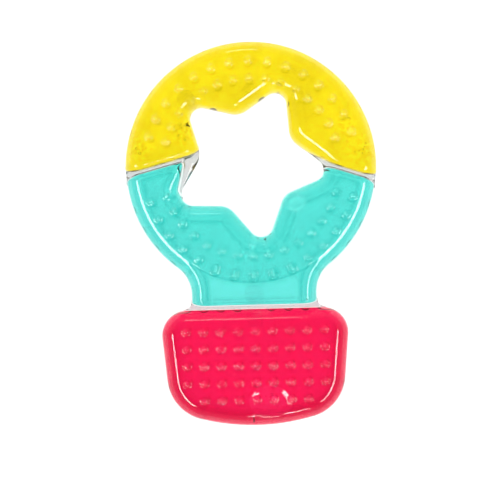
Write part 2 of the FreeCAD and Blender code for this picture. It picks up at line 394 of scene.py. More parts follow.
def nub_points(nub):
    """Points in rings round one nub."""
    x, y, way, length = nub
    along = np.array(polar(1.0, way))
    points = [(x, y)]
    for share, count in NUB_RINGS:
        for i in range(count):
            turn = 360 * i / count
            out = np.array(polar(NUB_R * share, way + turn))
            shift = along * length if turn <= 90 or turn >= 270 else 0
            points.append(tuple(np.array((x, y)) + out + shift))
    if length:
        points.append(tuple(np.array((x, y)) + along * length))
        for share, _ in NUB_RINGS:
            for side in (-90, 90):
                start = np.array(polar(NUB_R * share, way + side, (x, y)))
                points += [tuple(start + along * length * t) for t in LONG_NUB_STEPS]
    return points


# ---------------------------------------------------------------- triangulated faces
RINGS = 9  # bands of points from the outline to the flat
LEAST_GAP = 0.12  # between points of the bands and of special places
LEAST_EDGE_GAP = 0.08
LEAST_GRID_GAP = 0.7
INNER_LEVEL = 0.97  # special points further down the roll are left out
LAST_LEVEL = 0.03
FLAT_LEVEL = 0.02
GRID_PITCH = 1.25
GRID_ROW = 0.866  # rows of a triangular grid, as a share of its pitch
SPOTS_OFF_NUB = 1.25  # how near a nub other points may come, as a share of its radius
BANDS_OFF_NUB = 1.3
GRID_OFF_NUB = 1.35


def thinned(points, keep, least):
    """points without those nearer than least to the keep points or to each other."""
    kept = list(map(tuple, keep))
    cells = {}
    for p in kept:
        cells.setdefault((int(p[0] // least), int(p[1] // least)), []).append(p)
    added = []
    for p in map(tuple, points):
        cx, cy = int(p[0] // least), int(p[1] // least)
        near = (q for i in (-1, 0, 1) for j in (-1, 0, 1) for q in cells.get((cx + i, cy + j), ()))
        if all((p[0] - q[0]) ** 2 + (p[1] - q[1]) ** 2 >= least**2 for q in near):
            cells.setdefault((cx, cy), []).append(p)
            added.append(p)
    return added


def face_points(colour, rims, nubs, spots):
    """A chamber's outline, and the points inside it that its faces are drawn through."""
    edge = settle(outline_of(colour), rims, 1.0)
    gap = np.linalg.norm(edge - np.roll(edge, 1, axis=0), axis=1)
    edge = edge[gap > LEAST_EDGE_GAP]
    special = np.array([p for nub in nubs for p in nub_points(nub)])
    inner = list(map(tuple, special[roll(special, rims)[0] < INNER_LEVEL]))
    if spots:
        spots = np.array(spots)
        spots = spots[roll(spots, rims)[0] < INNER_LEVEL]
        for nub in nubs:
            spots = spots[from_nub(spots, nub) > NUB_R * SPOTS_OFF_NUB]
        inner += thinned(spots, np.vstack([edge, inner]), LEAST_GAP)
    bands = []
    for j in range(1, RINGS + 1):
        level = max(math.cos(math.pi / 2 * j / RINGS), LAST_LEVEL)
        start = bands[-1] if bands else edge
        bands.append(settle(start, rims, level))
    for band in bands:
        clear = np.ones(len(band), bool)
        for nub in nubs:
            clear &= from_nub(band, nub) > NUB_R * BANDS_OFF_NUB
        inner += thinned(band[clear], np.vstack([edge, inner]), LEAST_GAP)
    lo, hi = edge.min(0), edge.max(0)
    xs = np.arange(lo[0], hi[0], GRID_PITCH)
    grid = []
    for row, y in enumerate(np.arange(lo[1], hi[1], GRID_PITCH * GRID_ROW)):
        grid += [(x + (row % 2) * GRID_PITCH / 2, y) for x in xs]
    grid = np.array(grid)
    grid = grid[within(grid, edge)]
    grid = grid[roll(grid, rims)[0] < FLAT_LEVEL]
    for nub in nubs:
        grid = grid[from_nub(grid, nub) > NUB_R * GRID_OFF_NUB]
    inner += thinned(grid, np.vstack([edge, inner]), LEAST_GRID_GAP)
    return edge, np.array(inner)


def enclosed(faces, loop):
    """The faces inside a closed anticlockwise loop of points, found by spreading inwards from it."""
    owner = {}
    for k, face in enumerate(faces):
        for a, b in zip(face, face[1:] + face[:1]):
            owner[a, b] = k
    rim = set(zip(loop, loop[1:] + loop[:1]))
    found = {owner[pair] for pair in rim if pair in owner}
    front = sorted(found)
    while front:
        face = faces[front.pop()]
        for a, b in zip(face, face[1:] + face[:1]):
            k = owner.get((b, a))
            if (a, b) not in rim and k is not None and k not in found:
                found.add(k)
                front.append(k)
    return [face for k, face in enumerate(faces) if k in found]


def area_of(outline):
    """A closed line's area, positive when it runs anticlockwise."""
    return np.cross(outline, np.roll(outline, -1, axis=0)).sum() / 2


AREA_SLACK = 0.5


def triangulate(edge, inner):
    """Triangles over a region: its points, its faces and the loop of its outline's points.
    Where spreading inwards leaks out at a sharp end, the faces are picked by their middles instead."""
    verts = [Vector(p) for p in edge] + [Vector(p) for p in inner]
    face = list(range(len(edge)))
    out = delaunay_2d_cdt(verts, [], [face], 1, 1e-6, True)
    points = np.array([tuple(v) for v in out[0]])
    origin = {}
    for new, old in enumerate(out[3]):
        for o in old:
            origin[o] = new
    loop = [origin[i] for i in face]
    faces = [tuple(f) for f in out[2]]
    kept = enclosed(faces, loop if area_of(edge) > 0 else loop[::-1])
    corners = points[np.array(kept)]
    filled = np.cross(corners[:, 1] - corners[:, 0], corners[:, 2] - corners[:, 0]).sum() / 2
    if abs(filled - abs(area_of(edge))) > AREA_SLACK:
        inside = within(points[np.array(faces)].mean(1), np.array(edge))
        kept = [face for face, is_inside in zip(faces, inside) if is_inside]
    return points, kept, loop


# ---------------------------------------------------------------- the neck's panel, tones, painted shade and painted highlights
BACK_NUB_SHARE = 0.5  # the colour fills the back's nubs only so far, and not those on its rolled edges
CREASE_R = 35.4
CREASE_ANGLES = (-127, -53)
CREASE_WIDTH = 0.35
# painted shade along the crease between ring and neck
NECK_CREASE_PAINTED_SHADE = 0.35
PANEL_HALF_WIDTH = 13.7
PANEL_TOP = -36.2
PANEL_BOTTOM = -41.6
PANEL_PALE = 0.3
PLAIN_TONE = 0.3  # on the walls round the middle
FLAT_TONE = 0.1
# painted shade down the rolled edges, along the line where they start and round the nubs' feet; painted
# highlights on the nubs
EDGE_PAINTED_SHADE = {"yellow": 0.25, "teal": 0.45, "red": 0.75}
EDGE_CREASE_PAINTED_SHADE = {"yellow": 0.3, "teal": 0.6, "red": 0.3}
NUB_PAINTED_SHADE = {"yellow": 0.7, "teal": 1.0, "red": 1.2}
NUB_GLINT = {"yellow": 0.6, "teal": 1.0, "red": 0.45}
NUB_MATT = {"yellow": 0.3, "teal": 0.0, "red": 0.7}
GLOSS_START = 1.4  # the gloss is full on the flat and falls off down the rolled edges
GLOSS_FALL = 1.7
BACK_NUB_END = 0.3  # how far down the rolled edges the back's nubs fade out
NUB_SHADE_WAY = -65.0
NUB_SHADE_R = 1.05
NUB_SHADE_WIDTH = 0.42
# a painted highlight on each nub's top
NUB_TOP_PAINTED_HIGHLIGHT = 0.2
NUB_GLINT_R = 0.36
POCKET_NUB_GAIN = 2.0  # the painted highlights on nubs over a pocket of air are stronger
EDGE_START = 0.04  # where the painted shade on the rolled edges starts, as roll() counts it
RED_TOP_Y = -46.0  # the painted shade on the red's rolled edges fades towards its top edge


def neck_points():
    """Points along the crease between ring and neck, and along the neck panel's sides."""
    points = []
    for radius in (CREASE_R - 1.0, CREASE_R - 0.5, CREASE_R, CREASE_R + 0.5):
        points += arc((0, 0), radius, *CREASE_ANGLES, 0.7)
    for x in (PANEL_HALF_WIDTH - 0.5, PANEL_HALF_WIDTH + 0.3):
        for way in (-1, 1):
            points += line((way * x, PANEL_TOP), (way * x, PANEL_BOTTOM))
    for y in (PANEL_BOTTOM + 0.3, PANEL_BOTTOM - 0.3):
        points += line((-PANEL_HALF_WIDTH, y), (PANEL_HALF_WIDTH, y))
    return points


def neck_tone(points):
    """The neck's pale panel, and painted shade along the crease above it."""
    x, y = points[:, 0], points[:, 1]
    r = np.hypot(x, y)
    low = (y < NECK_TOP_Y).astype(float)
    below = np.clip((r - CREASE_R - 0.3) / 0.6, 0, 1)
    across = np.clip((PANEL_HALF_WIDTH - np.abs(x)) / 0.7, -1, 1)
    above_foot = np.clip((y - PANEL_BOTTOM) / 0.5, -1, 1)
    panel = below * np.clip(across + 0.5, 0, 1) * np.clip(above_foot + 0.5, 0, 1)
    crease = np.exp(-(((r - CREASE_R) / CREASE_WIDTH) ** 2)) * (np.abs(x) < NECK_HALF_WIDTH)
    return low * (NECK_CREASE_PAINTED_SHADE * crease - PANEL_PALE * panel)


# ---------------------------------------------------------------- air against the front wall
# Pockets: x, y, half length, half width, turn. Froth: x, y, spread, count of bubbles.
POCKETS = {
    "yellow": [],
    "teal": [(13.4, -11.4, 3.4, 3.0, 10.0), (-0.3, -24.6, 1.1, 1.0, 0.0)],
    "red": [(4.2, -72.2, 6.8, 5.2, -3.0)],
}
FROTH = {
    "yellow": [(33.6, 4.0, 3.6, 9), (29.5, 12.0, 3.0, 4), (-33.5, 6.0, 3.2, 6), (-20.5, 11.0, 3.6, 3)],
    "teal": [(-2.0, -26.5, 2.4, 3)],
    "red": [(3.5, -70.5, 5.5, 4)],
}
POCKET_DEPTH = 0.7
POCKET_SLOPE = 0.25  # a small pocket's depth, as a share of its half width
POCKET_BANK = 0.4  # the share of a pocket that its sloping bank takes
POCKET_RINGS = (
    (0.3, 10),
    (0.55, 18),
    (0.68, 24),
    (0.8, 30),
    (0.88, 36),
    (0.94, 44),
    (1.0, 52),
    (1.07, 52),
)


def in_pocket(points, pocket):
    """0 in a pocket's middle, 1 on its rim."""
    x, y, a, b, turn = pocket
    t = math.radians(turn)
    p = points - (x, y)
    return np.hypot(p @ (math.cos(t), math.sin(t)) / a, p @ (-math.sin(t), math.cos(t)) / b)


def pocket_points(pocket):
    """Points in rings round one pocket."""
    x, y, a, b, turn = pocket
    t = math.radians(turn)
    points = []
    for share, count in POCKET_RINGS:
        for i in range(count):
            u, v = polar(share, 360 * i / count)
            right = u * a * math.cos(t) - v * b * math.sin(t)
            up = u * a * math.sin(t) + v * b * math.cos(t)
            points.append((x + right, y + up))
    return points


def pocket_dent(points, pockets):
    """How far the pockets press the fill's front down."""
    dent = np.zeros(len(points))
    for pocket in pockets:
        t = np.clip((1 - in_pocket(points, pocket)) / POCKET_BANK, 0, 1)
        depth = min(POCKET_DEPTH, POCKET_SLOPE * pocket[3])
        dent = np.maximum(dent, depth * t * t * (3 - 2 * t))
    return dent


def pocket_tone(points, pockets):
    """Pockets look paler, with a thin line of painted shade round them."""
    tone = np.zeros(len(points))
    for pocket in pockets:
        share = in_pocket(points, pocket)
        tone -= 0.3 * np.clip((1 - share) / 0.3, 0, 1)
        tone += 0.15 * np.exp(-(((share - 1) / 0.05) ** 2))
    return tone


def pocket_glint(points, pockets):
    """Pockets are a little clearer, with a painted highlight line just inside their rim."""
    glint = np.zeros(len(points))
    for pocket in pockets:
        share = in_pocket(points, pocket)
        glint += 0.08 * np.exp(-(((share - 0.92) / 0.05) ** 2))
        glint += 0.06 * np.clip((1 - share) / 0.3, 0, 1)
    return glint


def froth_share(points, clusters):
    """How frothy the fill is at each point, from 0 to 1."""
    share = np.zeros(len(points))
    for x, y, spread, _ in clusters:
        r = np.linalg.norm(points - (x, y), axis=1)
        share = np.maximum(share, np.exp(-((r / spread) ** 2)))
    return share


# ---------------------------------------------------------------- building the pieces
def new_object(name, verts, faces, materials):
    """A mesh object from points in mm round the ring's centre."""
    mesh = bpy.data.meshes.new(name)
    placed = (np.array(verts) + (0, RING_Y, WELD_Z)) * MM
    mesh.from_pydata([tuple(v) for v in placed], [], faces)
    mesh.update()
    mesh.validate()
    for poly in mesh.polygons:
        poly.use_smooth = True
    obj = bpy.data.objects.new(name, mesh)
    bpy.context.scene.collection.objects.link(obj)
    for material in materials:
        mesh.materials.append(material)
    return obj


class Pad:
    """One chamber's outside: the triangulated face, its height on both sides, and its outline."""

    def __init__(self, colour):
        self.colour = colour
        self.rims = rims_of(colour)
        self.nubs = NUBS[colour]
        port = PORTS[colour]
        self.back_nubs = [nub for nub in self.nubs if math.dist(nub[:2], port) > NO_NUB_R]
        spots = [p for pocket in POCKETS[colour] for p in pocket_points(pocket)]
        if colour == "teal":
            spots += neck_points()
        edge, inner = face_points(colour, self.rims, self.nubs, spots)
        self.edge = edge
        self.points, self.faces, self.loop = triangulate(edge, inner)
        self.flat = face_height(self.points, self.rims)
        self.inward = roll(self.points, self.rims)[0]

    def half(self, up, nub_share=1.0):
        """Points and faces of the front half (up = 1) or the back half (up = -1), to the weld plane."""
        nubs = self.nubs if up > 0 else self.back_nubs
        z = self.flat + nub_share * nub_height(self.points, nubs)
        verts = np.column_stack([self.points, up * z])
        wall = np.column_stack([self.points[self.loop], np.zeros(len(self.loop))])
        n = len(verts)
        count = len(self.loop)
        faces = [f if up > 0 else f[::-1] for f in self.faces]
        for i in range(count):
            j = (i + 1) % count
            quad = (self.loop[i], self.loop[j], n + j, n + i)
            faces.append(quad[::-1] if up > 0 else quad)
        return np.vstack([verts, wall]), faces

    def whole(self):
        """Points and faces of the closed pad: the front half's points, then the back face's."""
        top, top_faces = self.half(1)
        low, low_faces = self.half(-1, BACK_NUB_SHARE * np.clip(1 - self.inward / BACK_NUB_END, 0, 1))
        n, m = len(top), len(self.points)
        remap = [n + i if i < m else i for i in range(n)]
        faces = top_faces + [tuple(remap[v] for v in f) for f in low_faces]
        return np.vstack([top, low[:m]]), faces

    def glint(self):
        """Painted highlights: pale spots towards the upper left of the front's nubs, and pale lines round
        its pockets of air.
        """
        draw = random.Random(3)
        glint = pocket_glint(self.points, POCKETS[self.colour])
        for nub in self.nubs:
            spot = np.array(nub[:2]) + (draw.uniform(-0.5, -0.1), draw.uniform(0.35, 0.6))
            r = np.linalg.norm(self.points - spot, axis=1)
            strength = draw.uniform(0.3, 1.0) * NUB_GLINT[self.colour]
            if any(in_pocket(spot[None], pocket)[0] < 0.8 for pocket in POCKETS[self.colour]):
                strength *= POCKET_NUB_GAIN
            glint += strength * np.exp(-((r / NUB_GLINT_R) ** 2))
        return glint.clip(0, 1)

    def tone(self, nubs):
        """How deep the colour is at each point of a face, with painted shade down the rolled edges and on
        each nub's lower side, and a painted highlight on each nub's top.
        """
        q = self.inward
        # painted shade down the rolled edges, a little less at the very rim
        edge = np.clip((q - EDGE_START) / 0.3, 0, 1) * (1 - 0.3 * np.clip((q - 0.6) / 0.4, 0, 1))
        # on the red, the painted shade fades towards its top edge
        if self.colour == "red":
            edge *= np.clip((RED_TOP_Y - self.points[:, 1]) / 5, 0.3, 1)
        tone = FLAT_TONE + EDGE_PAINTED_SHADE[self.colour] * edge
        # painted shade along the line where the rolled edges start
        tone += EDGE_CREASE_PAINTED_SHADE[self.colour] * np.exp(-(((q - EDGE_START) / 0.05) ** 2))
        for nub in nubs:
            # painted shade round each nub's foot, deepest on its lower side, and a painted highlight on its
            # top
            r = from_nub(self.points, nub)
            lower = (self.points - nub[:2]) @ np.array(polar(1.0, NUB_SHADE_WAY)) / np.maximum(r, 0.5)
            ring = np.exp(-(((r - NUB_SHADE_R) / NUB_SHADE_WIDTH) ** 2))
            tone += NUB_PAINTED_SHADE[self.colour] * ring * (0.5 + 0.5 * lower.clip(-1, 1))
            tone -= NUB_TOP_PAINTED_HIGHLIGHT * np.exp(-((r / 0.5) ** 2))
        if self.colour == "teal":
            tone += neck_tone(self.points)
        return tone


def point_normals(verts, faces):
    """Unit normals at a mesh's points."""
    normals = np.zeros_like(verts)
    for size in (3, 4):
        f = np.array([f for f in faces if len(f) == size])
        if len(f):
            across = np.cross(verts[f[:, 2]] - verts[f[:, 0]], verts[f[:, size - 1]] - verts[f[:, 1]])
            if size == 3:
                across = np.cross(verts[f[:, 1]] - verts[f[:, 0]], verts[f[:, 2]] - verts[f[:, 0]])
            for k in range(size):
                np.add.at(normals, f[:, k], across)
    return normals / np.maximum(np.linalg.norm(normals, axis=1), 1e-12)[:, None]


# ---------------------------------------------------------------- air in the fills
BUBBLE_TURNS = 20
BUBBLE_RINGS = 12
BUBBLE_Z = 5.6  # where the bubbles' tops are
BUBBLE_R = (0.2, 0.5)
BUBBLE_GAP = 0.1
BUBBLE_INSET = 3.0  # least distance from the outline


def bubble(x, y, z, r):
    """A closed round hollow, facing inwards."""
    verts = [(x, y, z + r)]
    for i in range(1, BUBBLE_RINGS):
        lat = math.pi * i / BUBBLE_RINGS
        for j in range(BUBBLE_TURNS):
            p = polar(r * math.sin(lat), 360 * j / BUBBLE_TURNS, (x, y))
            verts.append((*p, z + r * math.cos(lat)))
    verts.append((x, y, z - r))
    last = len(verts) - 1
    faces = []
    for j in range(BUBBLE_TURNS):
        k = (j + 1) % BUBBLE_TURNS
        faces.append((0, 1 + k, 1 + j))
        for i in range(BUBBLE_RINGS - 2):
            row = 1 + i * BUBBLE_TURNS
            faces.append((row + j, row + k, row + BUBBLE_TURNS + k, row + BUBBLE_TURNS + j))
        row = 1 + (BUBBLE_RINGS - 2) * BUBBLE_TURNS
        faces.append((row + j, row + k, last))
    return np.array(verts), faces


def bubbles_in(colour, rims):
    """The small bubbles of one fill, none touching another."""
    placed = []
    draw = random.Random(7)
    for x, y, spread, count in FROTH[colour]:
        for _ in range(count):
            r = draw.uniform(*BUBBLE_R)
            place = (draw.gauss(x, spread / 2), draw.gauss(y, spread / 2), BUBBLE_Z - r)
            depth = min(inside(np.array([place[:2]]))[0] for inside, _ in rims)
            clear = all(math.dist(place, other[:3]) > r + other[3] + BUBBLE_GAP for other in placed)
            if clear and depth > BUBBLE_INSET:
                placed.append((*place, r))
    return [bubble(*place) for place in placed]


# ---------------------------------------------------------------- materials
def new_material(name):
    material = bpy.data.materials.new(name)
    material.use_nodes = True
    tree = material.node_tree
    return material, tree, tree.nodes["Principled BSDF"], tree.nodes["Material Output"]


def add_noise(tree, scale, detail):
    coordinates = tree.nodes.new("ShaderNodeTexCoord")
    noise = tree.nodes.new("ShaderNodeTexNoise")
    noise.inputs["Scale"].default_value = scale
    noise.inputs["Detail"].default_value = detail
    tree.links.new(coordinates.outputs["Object"], noise.inputs["Vector"])
    return noise


def add_attribute(tree, name):
    node = tree.nodes.new("ShaderNodeAttribute")
    node.attribute_name = name
    return node.outputs["Fac"]


def add_range(tree, value, taken, given):
    node = tree.nodes.new("ShaderNodeMapRange")
    node.inputs["From Min"].default_value = taken[0]
    node.inputs["From Max"].default_value = taken[1]
    node.inputs["To Min"].default_value = given[0]
    node.inputs["To Max"].default_value = given[1]
    tree.links.new(value, node.inputs["Value"])
    return node.outputs["Result"]


def add_math(tree, operation, first, second):
    node = tree.nodes.new("ShaderNodeMath")
    node.operation = operation
    tree.links.new(first, node.inputs[0])
    tree.links.new(second, node.inputs[1])
    return node.outputs["Value"]


def add_bump(tree, shader, scales, distance_m):
    """Bump from noise at several scales, each (scale, strength)."""
    last = None
    for scale, strength in scales:
        noise = add_noise(tree, scale, 2.0)
        bump = tree.nodes.new("ShaderNodeBump")
        bump.inputs["Strength"].default_value = strength
        bump.inputs["Distance"].default_value = distance_m
        tree.links.new(noise.outputs["Fac"], bump.inputs["Height"])
        if last is not None:
            tree.links.new(last.outputs["Normal"], bump.inputs["Normal"])
        last = bump
    tree.links.new(last.outputs["Normal"], shader.inputs["Normal"])


WATER_IOR = 1.42
BUBBLE_IOR = 1.2  # softer than real air, so that the smallest bubbles don't go black


def water(name, absorbed, pale, deep, mottle):
    """Coloured water in its clear wall. absorbed is how much of red, green and blue is taken up, per metre.
    pale and deep are the colours of its surface where its depth of colour and painted shade is 0 and 1,
    and mottle is how much that wanders."""
    material, tree, shader, output = new_material(name)
    shader.inputs["Roughness"].default_value = 0.0
    shader.inputs["IOR"].default_value = WATER_IOR
    shader.inputs["Transmission Weight"].default_value = 1.0
    shader.inputs["Coat Roughness"].default_value = 0.0
    add_bump(tree, shader, [(90, 0.12), (420, 0.05)], 0.0005)
    # the depth of colour at each point, with painted shade
    tone = add_attribute(tree, "tone")
    cloud = add_range(tree, add_noise(tree, 85, 3.0).outputs["Fac"], (0.48, 0.72), (0, mottle))
    speck = add_range(tree, add_noise(tree, 560, 1.0).outputs["Fac"], (0.42, 0.6), (0.5, -0.6))
    froth = add_math(tree, "MULTIPLY", add_attribute(tree, "froth"), speck)
    total = add_math(tree, "ADD", add_math(tree, "ADD", tone, cloud), froth)
    total.node.use_clamp = True
    tint = tree.nodes.new("ShaderNodeMix")
    tint.data_type = "RGBA"
    tint.inputs["A"].default_value = (*pale, 1)
    tint.inputs["B"].default_value = (*deep, 1)
    tree.links.new(total, tint.inputs["Factor"])
    # mixes in white where the glint attribute holds painted highlights
    clear = tree.nodes.new("ShaderNodeMix")
    clear.data_type = "RGBA"
    clear.inputs["B"].default_value = (1, 1, 1, 1)
    tree.links.new(add_attribute(tree, "glint"), clear.inputs["Factor"])
    tree.links.new(tint.outputs["Result"], clear.inputs["A"])
    tree.links.new(clear.outputs["Result"], shader.inputs["Base Color"])
    tree.links.new(add_attribute(tree, "gloss"), shader.inputs["Coat Weight"])
    volume = tree.nodes.new("ShaderNodeVolumeAbsorption")
    most = max(absorbed)
    volume.inputs["Color"].default_value = (*[1 - a / most for a in absorbed], 1)
    volume.inputs["Density"].default_value = most
    tree.links.new(volume.outputs["Volume"], output.inputs["Volume"])
    return material


def air_wall():
    """The inside of a small bubble."""
    material, tree, shader, _ = new_material("air_wall")
    shader.inputs["Base Color"].default_value = (1, 1, 1, 1)
    shader.inputs["Roughness"].default_value = 0.0
    shader.inputs["IOR"].default_value = BUBBLE_IOR
    shader.inputs["Transmission Weight"].default_value = 1.0
    add_bump(tree, shader, [(900, 0.05)], 0.0002)
    return material


def clear_skin():
    """The clear moulding where it lies close over the colour."""
    material, tree, shader, _ = new_material("clear_skin")
    shader.inputs["Base Color"].default_value = (0.8, 0.8, 0.8, 1)
    shader.inputs["Roughness"].default_value = 0.06
    shader.inputs["IOR"].default_value = 1.48
    shader.inputs["Alpha"].default_value = 0.03
    add_bump(tree, shader, [(160, 0.1)], 0.0004)
    return material


def clear_web():
    """The clear moulding by itself, in the webs and rims."""
    material, tree, shader, _ = new_material("clear_web")
    shader.inputs["Base Color"].default_value = (0.66, 0.64, 0.65, 1)
    shader.inputs["Roughness"].default_value = 0.0
    shader.inputs["IOR"].default_value = 1.48
    shader.inputs["Transmission Weight"].default_value = 1.0
    add_bump(tree, shader, [(300, 0.15)], 0.0005)
    return material


def plug_plastic():
    """The plugs. Their index is near the air's, so that they hardly show through the water."""
    material, tree, shader, _ = new_material("plug_plastic")
    shader.inputs["Base Color"].default_value = (1.0, 0.99, 1.0, 1)
    shader.inputs["Roughness"].default_value = 0.0
    shader.inputs["IOR"].default_value = 1.07
    shader.inputs["Coat Weight"].default_value = 1.0
    shader.inputs["Coat Roughness"].default_value = 0.0
    shader.inputs["Transmission Weight"].default_value = 1.0
    add_bump(tree, shader, [(500, 0.2)], 0.0003)
    return material


# absorbed, pale colour, deep colour, how cloudy
WATERS = {
    "yellow": water("yellow_water", (1.0, 4.0, 230.0), (1.0, 0.87, 0.15), (0.72, 0.58, 0.005), 0.6),
    "teal": water("teal_water", (75.0, 5.0, 10.0), (0.42, 0.92, 0.9), (0.06, 0.6, 0.57), 0.12),
    "red": water("red_water", (1.0, 90.0, 40.0), (0.98, 0.022, 0.18), (0.68, 0.0, 0.075), 0.08),
}
AIR = air_wall()
SKIN = clear_skin()
WEB = clear_web()
PLUG = plug_plastic()

# ---------------------------------------------------------------- the pieces
NUBS = {"yellow": ring_nubs(90.0), "teal": ring_nubs(-90.0), "red": pot_nubs()}
PADS = {colour: Pad(colour) for colour in NUBS}


def finish_piece(obj, node):
    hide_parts(node)
    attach(obj, "root")


def set_values(obj, name, values):
    attribute = obj.data.attributes.new(name, "FLOAT", "POINT")
    attribute.data.foreach_set("value", np.asarray(values, np.float32))


def make_fill(colour):
    """The colour: a closed pad a little inside the clear wall, with its air."""
    pad = PADS[colour]
    verts, faces = pad.whole()
    verts = verts - WALL_SHOWN[colour] * point_normals(verts, faces)
    count = len(pad.points)
    verts[:count, 2] -= pocket_dent(pad.points, POCKETS[colour])
    # depth of colour with painted shade, on the front and the back faces
    tone = np.full(len(verts), PLAIN_TONE)
    tone[:count] = pad.tone(pad.nubs) + pocket_tone(pad.points, POCKETS[colour])
    tone[-count:] = pad.tone(pad.back_nubs)
    froth = np.zeros(len(verts))
    froth[:count] = froth_share(pad.points, FROTH[colour])
    slots = [0] * len(faces)
    for hollow, hollow_faces in bubbles_in(colour, pad.rims):
        faces += [tuple(i + len(verts) for i in face) for face in hollow_faces]
        slots += [1] * len(hollow_faces)
        verts = np.vstack([verts, hollow])
    spare = np.zeros(len(verts) - len(tone))
    obj = new_object(colour + "_fill_body", verts, faces, [WATERS[colour], AIR])
    obj.data.polygons.foreach_set("material_index", slots)
    set_values(obj, "tone", np.append(tone, spare).clip(0, 1))
    set_values(obj, "froth", np.append(froth, spare))
    # painted highlights on the front face
    glint = np.zeros(len(verts))
    glint[:count] = pad.glint()
    set_values(obj, "glint", glint)
    gloss = np.zeros(len(verts))
    gloss[:count] = np.clip(GLOSS_START - GLOSS_FALL * pad.inward, 0, 1)
    gloss[len(tone) - count : len(tone)] = gloss[:count]
    gloss[:count] *= 1 - NUB_MATT[colour] * (nub_height(pad.points, pad.nubs) > 0)
    set_values(obj, "gloss", gloss)
    finish_piece(obj, colour + "_fill")


def chained(runs):
    """One closed line through several runs of points, each turned and placed to follow on."""
    loop = runs[0]
    rest = runs[1:]
    while rest:
        end = loop[-1]
        best = min(rest, key=lambda run: min(math.dist(end, run[0]), math.dist(end, run[-1])))
        rest = [run for run in rest if run is not best]
        if math.dist(end, best[-1]) < math.dist(end, best[0]):
            best = best[::-1]
        loop = np.vstack([loop, best])
    gap = np.linalg.norm(loop - np.roll(loop, 1, axis=0), axis=1)
    return loop[gap > 0.05]


def tucked(colour):
    """A line just inside a pad's outline, where a web ends under it."""
    pad = PADS[colour]
    return settle(pad.edge, pad.rims, WEB_TUCK)


def ring_web(angle):
    """The web's outline in one parting of the ring."""
    middle = beyond(angle, 1, 0.0)
    corner = np.array(CLEAR_CORNER) + WEB_CORNER_SHIFT

    def near(p):
        value = WEB_REACH - np.abs(middle(p))
        if angle > 90:
            value = np.maximum(value, WEB_CORNER_REACH - np.linalg.norm(p - corner, axis=1))
        return value

    star = run_where(STAR, near)
    out = star - np.array(STAR_CENTRE)
    star = star + out * (WEB_INSET / np.linalg.norm(out, axis=1))[:, None]
    bulb = run_where(BULB, near)
    bulb = bulb * (1 - WEB_INSET / np.linalg.norm(bulb, axis=1))[:, None]
    yellow = run_where(tucked("yellow"), near)
    teal = run_where(tucked("teal"), near)
    return chained([yellow, star[2:-2], teal, bulb[2:-2]])


def foot_web():
    """The web's outline between neck and foot."""
    top = NECK_END_Y + 1.8
    half = NECK_HALF_WIDTH - WEB_INSET
    neck = run_where(tucked("teal"), lambda p: top - p[:, 1])
    low = POT_CORNERS[0][1]
    reach = half + FOOT_FLARE_R
    foot = run_where(tucked("red"), lambda p: np.minimum(p[:, 1] - low + 1.0, reach - np.abs(p[:, 0])))
    flares = []
    for way in (1, -1):
        centre = (way * reach, low + FOOT_FLARE_R)
        flares.append(np.array(arc(centre, FOOT_FLARE_R, 270, 270 - way * 90, 0.3)))
    return chained([neck, flares[0], foot, flares[1]])


SKIN_SLOT = 0
WEB_SLOT = 1


def web_half(outline, up):
    """Points, faces and material slots of one web's front or back half, a closed slab.
    Its weld face is drawn as skin, since the two halves are one body there."""
    points, faces, loop = triangulate(outline, np.zeros((0, 2)))
    top = np.column_stack([points, np.full(len(points), up * WEB_HALF_THICKNESS)])
    low = np.column_stack([points, np.full(len(points), up * WELD_GAP)])
    n = len(top)
    turned = area_of(outline) > 0
    faces = [f if up > 0 else f[::-1] for f in faces]
    slots = [WEB_SLOT] * len(faces) + [SKIN_SLOT] * len(faces) + [WEB_SLOT] * len(loop)
    faces += [tuple(n + i for i in f[::-1]) for f in faces]
    for i in range(len(loop)):
        j = (i + 1) % len(loop)
        quad = (loop[i], loop[j], n + loop[j], n + loop[i])
        faces.append(quad[::-1] if (up > 0) == turned else quad)
    return np.vstack([top, low]), faces, slots


def skin_half(pad, up):
    """Points, faces and material slots of one pad's skin, a thin closed shell."""
    outer, faces = pad.half(up)
    inner = outer - SKIN_THICKNESS * point_normals(outer, faces)
    first = len(pad.points)
    n, count = len(outer), len(pad.loop)
    outer[first:, 2] = inner[first:, 2] = up * WELD_GAP
    faces = faces + [tuple(n + i for i in f[::-1]) for f in faces]
    for i in range(count):
        a, b = first + i, first + (i + 1) % count
        quad = (a, b, n + b, n + a)
        faces.append(quad[::-1] if up > 0 else quad)
    return np.vstack([outer, inner]), faces, [SKIN_SLOT] * len(faces)


WEB_OUTLINES = [ring_web(angle) for angle in PART_ANGLES] + [foot_web()]


def make_shell(name, up):
    """One half of the clear moulding: the skin over each pad, and the webs between them."""
    verts = np.zeros((0, 3))
    faces = []
    parts = [skin_half(pad, up) for pad in PADS.values()]
    parts += [web_half(outline, up) for outline in WEB_OUTLINES]
    slots = []
    for part_verts, part_faces, part_slots in parts:
        faces += [tuple(i + len(verts) for i in face) for face in part_faces]
        slots += part_slots
        verts = np.vstack([verts, part_verts])
    obj = new_object(name + "_body", verts, faces, [SKIN, WEB])
    obj.data.polygons.foreach_set("material_index", slots)
    finish_piece(obj, name)


# radius and height of the plug's section, from the middle of its inner end to the middle of its dimple
PLUG_PROFILE = [
    (0.0, -6.95),
    (PORT_R, -6.95),
    (PORT_R, -7.0),
    (PLUG_HEAD_R, -7.0),
    (PLUG_HEAD_R, -7.32),
    (PLUG_HEAD_R - 0.06, -7.43),
    (PLUG_HEAD_R - 0.18, -7.5),
    (1.15, -7.5),
    (1.0, -7.44),
    (0.85, -7.3),
    (0.0, -7.22),
]
PLUG_TURNS = 48


